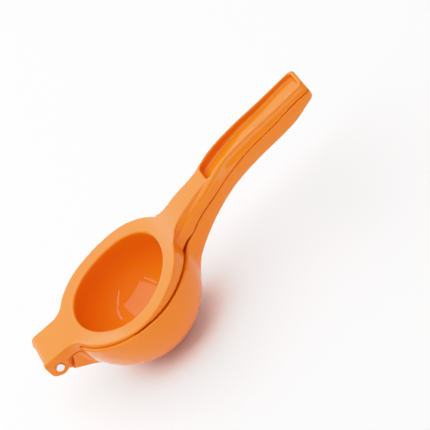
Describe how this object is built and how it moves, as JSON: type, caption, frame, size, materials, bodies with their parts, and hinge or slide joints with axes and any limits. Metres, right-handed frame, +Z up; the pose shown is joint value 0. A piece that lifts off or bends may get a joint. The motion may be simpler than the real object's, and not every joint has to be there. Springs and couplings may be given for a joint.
{
  "type": "citrus press",
  "caption": "Hand-held lever press for halved oranges: a hollow dome arm nests in a perforated round cup arm, the two joined by a pin hinge.",
  "frame": {"origin": "centre of the flat land under the cup", "axes": "+X from the hinge towards the handle ends, +Z up out of the cup, rim level when closed"},
  "size_m": [0.2608, 0.1056, 0.0928],
  "materials": {
    "cup_enamel": "gloss",
    "plunger_enamel": "gloss",
    "pin_steel": "satin"
  },
  "bodies": {
    "lower_arm": {"cup_arm": "cup_enamel"},
    "upper_arm": {"plunger_arm": "plunger_enamel", "hinge_pin": "pin_steel"}
  },
  "joints": [
    {"name": "press_hinge", "type": "hinge", "parent": "lower_arm", "child": "upper_arm", "pos_m": [-0.0675, 0, 0.04994], "axis": [0, -1, 0], "range_deg": [0, 135]}
  ]
}
